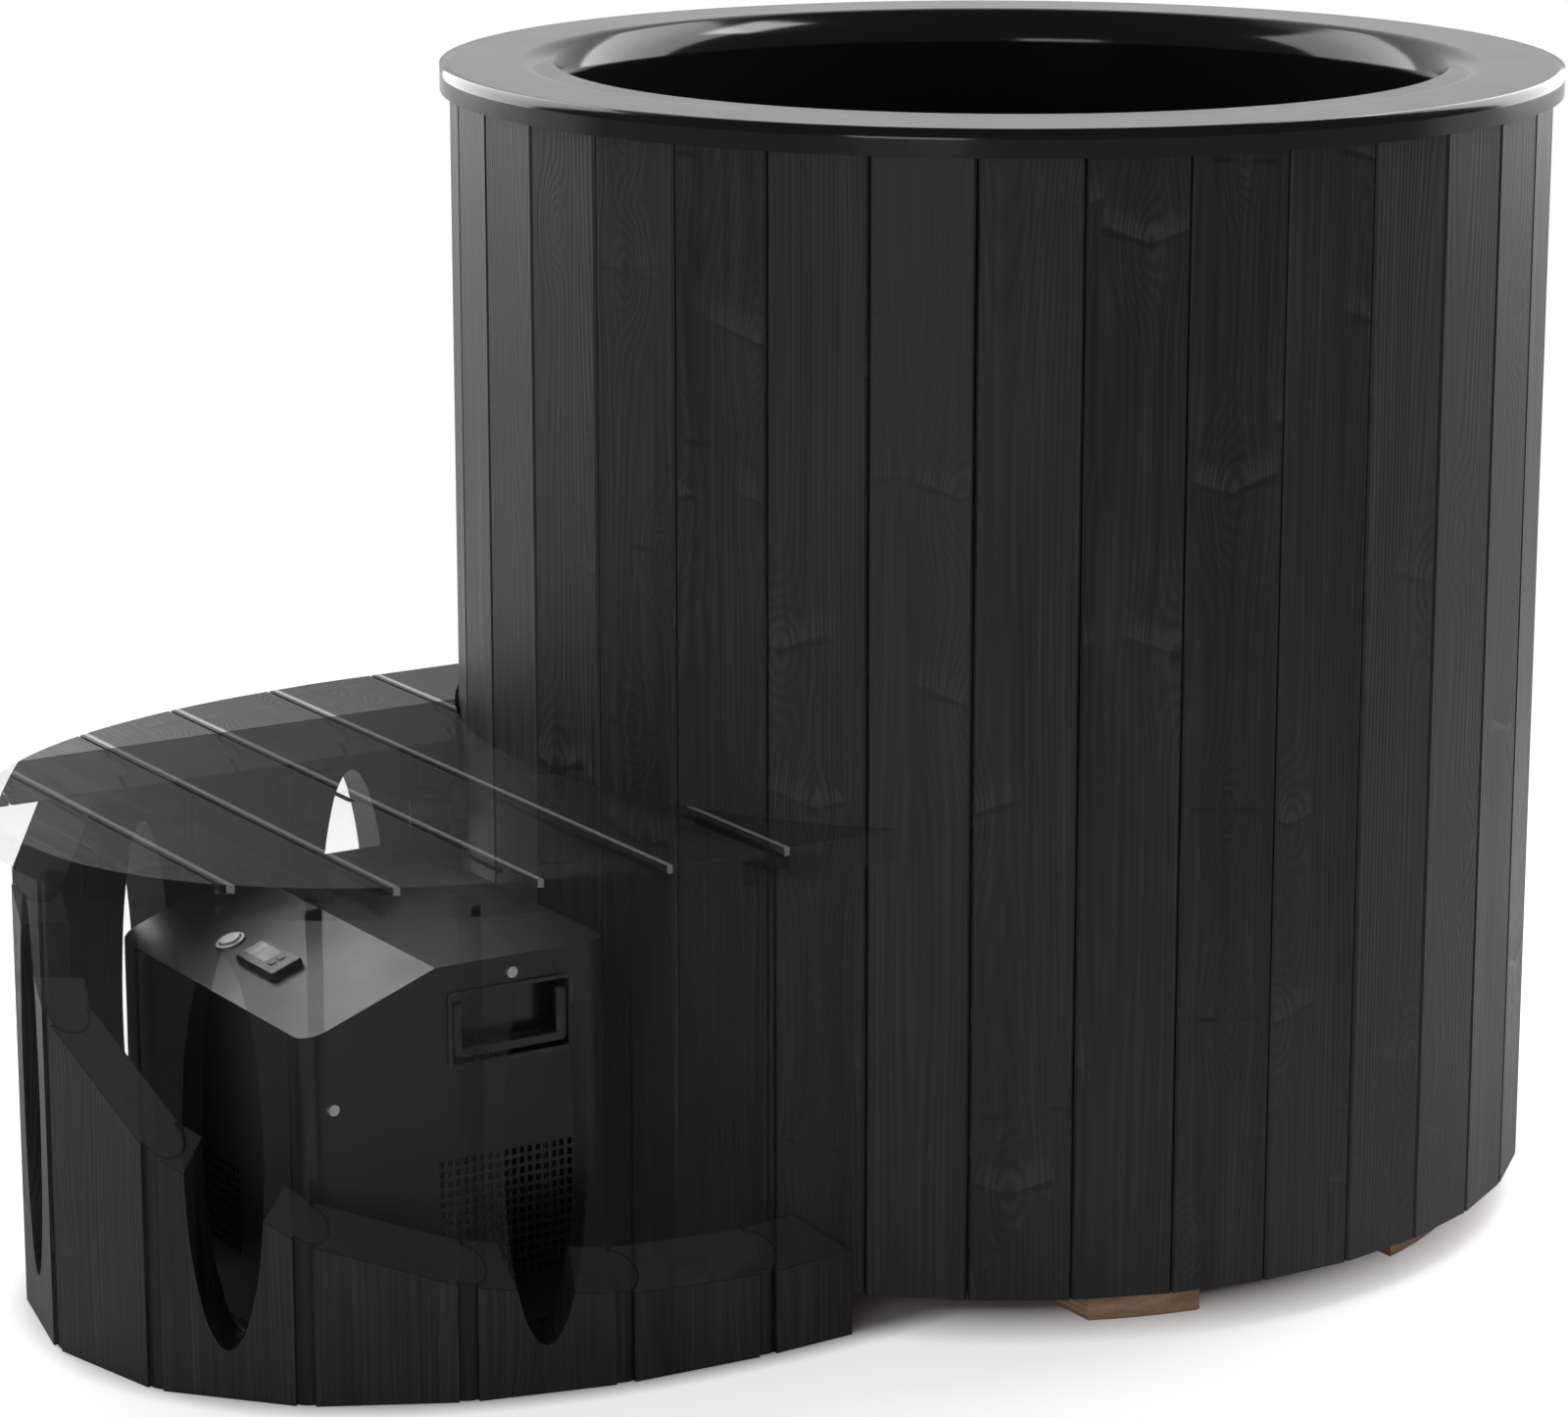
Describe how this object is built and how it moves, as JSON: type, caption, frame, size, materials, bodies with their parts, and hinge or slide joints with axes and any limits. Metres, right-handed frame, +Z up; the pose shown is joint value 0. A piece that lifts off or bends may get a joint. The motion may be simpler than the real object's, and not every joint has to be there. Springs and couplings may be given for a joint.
{
  "type": "cold plunge tub",
  "caption": "Round stave-clad cold plunge tub with a moulded liner and a rounded timber cabinet on its front side that holds the water chiller under a lift-off deck",
  "frame": {"origin": "floor level at the centre of the footprint; the floor is z = 0", "axes": "+Z up; +Y from the chiller cabinet to the tub; +X to the side of the cabinet with the perforated chiller grille"},
  "size_m": [1.0378, 1.529, 1.07],
  "materials": {
    "wood_black": "black-stained softwood boards, satin",
    "wood_brown": "brown heat-treated softwood",
    "wood_plain": "plain softwood and plywood",
    "liner_black": "moulded black plastic, semi-gloss",
    "foam": "cast polyurethane foam",
    "fitting_plastic": "moulded black plastic",
    "drain_steel": "stainless steel, brushed",
    "rubber_black": "black rubber",
    "casing_black": "black powder coat, fine texture",
    "handle_dark": "black lacquer, semi-gloss",
    "button_metal": "polished steel",
    "display_plastic": "moulded black plastic",
    "display_glass": "dark display window",
    "screw_steel": "zinc-plated steel",
    "condenser_aluminium": "bare aluminium fins",
    "vessel_grey": "grey insulated vessel"
  },
  "bodies": {
    "tub": {"tub_staves": "wood_black", "wall_stave_01": "wood_black", "wall_stave_02": "wood_black", "wall_stave_03": "wood_black", "wall_stave_04": "wood_black", "wall_stave_05": "wood_black", "wall_stave_06": "wood_black", "wall_stave_07": "wood_black", "wall_stave_08": "wood_black", "wall_stave_09": "wood_black", "wall_stave_10": "wood_black", "wall_stave_11": "wood_black", "wall_stave_12": "wood_black", "runner_1": "wood_brown", "runner_2": "wood_brown", "base_board": "wood_plain", "fixing_rings": "wood_plain", "liner": "liner_black", "insulation": "foam", "suction_fitting": "fitting_plastic", "return_fitting": "fitting_plastic", "fitting_nuts": "fitting_plastic", "hose_spigots": "fitting_plastic", "cable_gland": "fitting_plastic", "control_box": "fitting_plastic", "pump": "fitting_plastic", "fan_shroud": "fitting_plastic", "drain_fitting": "drain_steel", "chiller_feet": "rubber_black", "chiller_casing": "casing_black", "chiller_base_pan": "casing_black", "chiller_grille_front": "casing_black", "chiller_grille_left": "casing_black", "chiller_grille_right": "casing_black", "compressor": "casing_black", "fan_motor": "casing_black", "handle_cup_left": "handle_dark", "handle_cup_right": "handle_dark", "button_ring": "button_metal", "display_housing": "display_plastic", "display_window": "display_glass", "casing_screws": "screw_steel", "condenser": "condenser_aluminium", "evaporator": "vessel_grey"},
    "deck": {"deck_board_1": "wood_black", "deck_board_2": "wood_black", "deck_board_3": "wood_black", "deck_board_4": "wood_black", "deck_board_5": "wood_black", "deck_board_6": "wood_black", "deck_cleat_1": "wood_plain", "deck_cleat_2": "wood_plain"},
    "plug": {"drain_plug": "rubber_black"},
    "left_bail": {"handle_bail_left": "handle_dark"},
    "right_bail": {"handle_bail_right": "handle_dark"},
    "button": {"power_button": "button_metal"},
    "key_1": {"display_key_1": "display_plastic"},
    "key_2": {"display_key_2": "display_plastic"},
    "fan": {"fan_rotor": "fitting_plastic"}
  },
  "joints": [
    {"name": "deck_lift", "type": "slide", "parent": "tub", "child": "deck", "axis": [0, 0, 1], "range_m": [0, 0.3]},
    {"name": "plug_lift", "type": "slide", "parent": "tub", "child": "plug", "axis": [0, 0, 1], "range_m": [0, 0.3]},
    {"name": "left_bail_swing", "type": "hinge", "parent": "tub", "child": "left_bail", "pos_m": [-0.1875, -0.3905, 0.311], "axis": [0, 1, 0], "range_deg": [0, 90]},
    {"name": "right_bail_swing", "type": "hinge", "parent": "tub", "child": "right_bail", "pos_m": [0.1875, -0.3905, 0.311], "axis": [0, -1, 0], "range_deg": [0, 90]},
    {"name": "button_press", "type": "slide", "parent": "tub", "child": "button", "axis": [0, 0.3487, -0.9372], "range_m": [0, 0.0015], "stiffness_N_per_m": 600, "springref_m": -0.001},
    {"name": "key_1_press", "type": "slide", "parent": "tub", "child": "key_1", "axis": [0, 0.3487, -0.9372], "range_m": [0, 0.0006], "stiffness_N_per_m": 300, "springref_m": -0.0006},
    {"name": "key_2_press", "type": "slide", "parent": "tub", "child": "key_2", "axis": [0, 0.3487, -0.9372], "range_m": [0, 0.0006], "stiffness_N_per_m": 300, "springref_m": -0.0006},
    {"name": "fan_turn", "type": "hinge", "parent": "tub", "child": "fan", "pos_m": [0.1432, -0.396, 0.117], "axis": [1, 0, 0], "continuous": true}
  ]
}
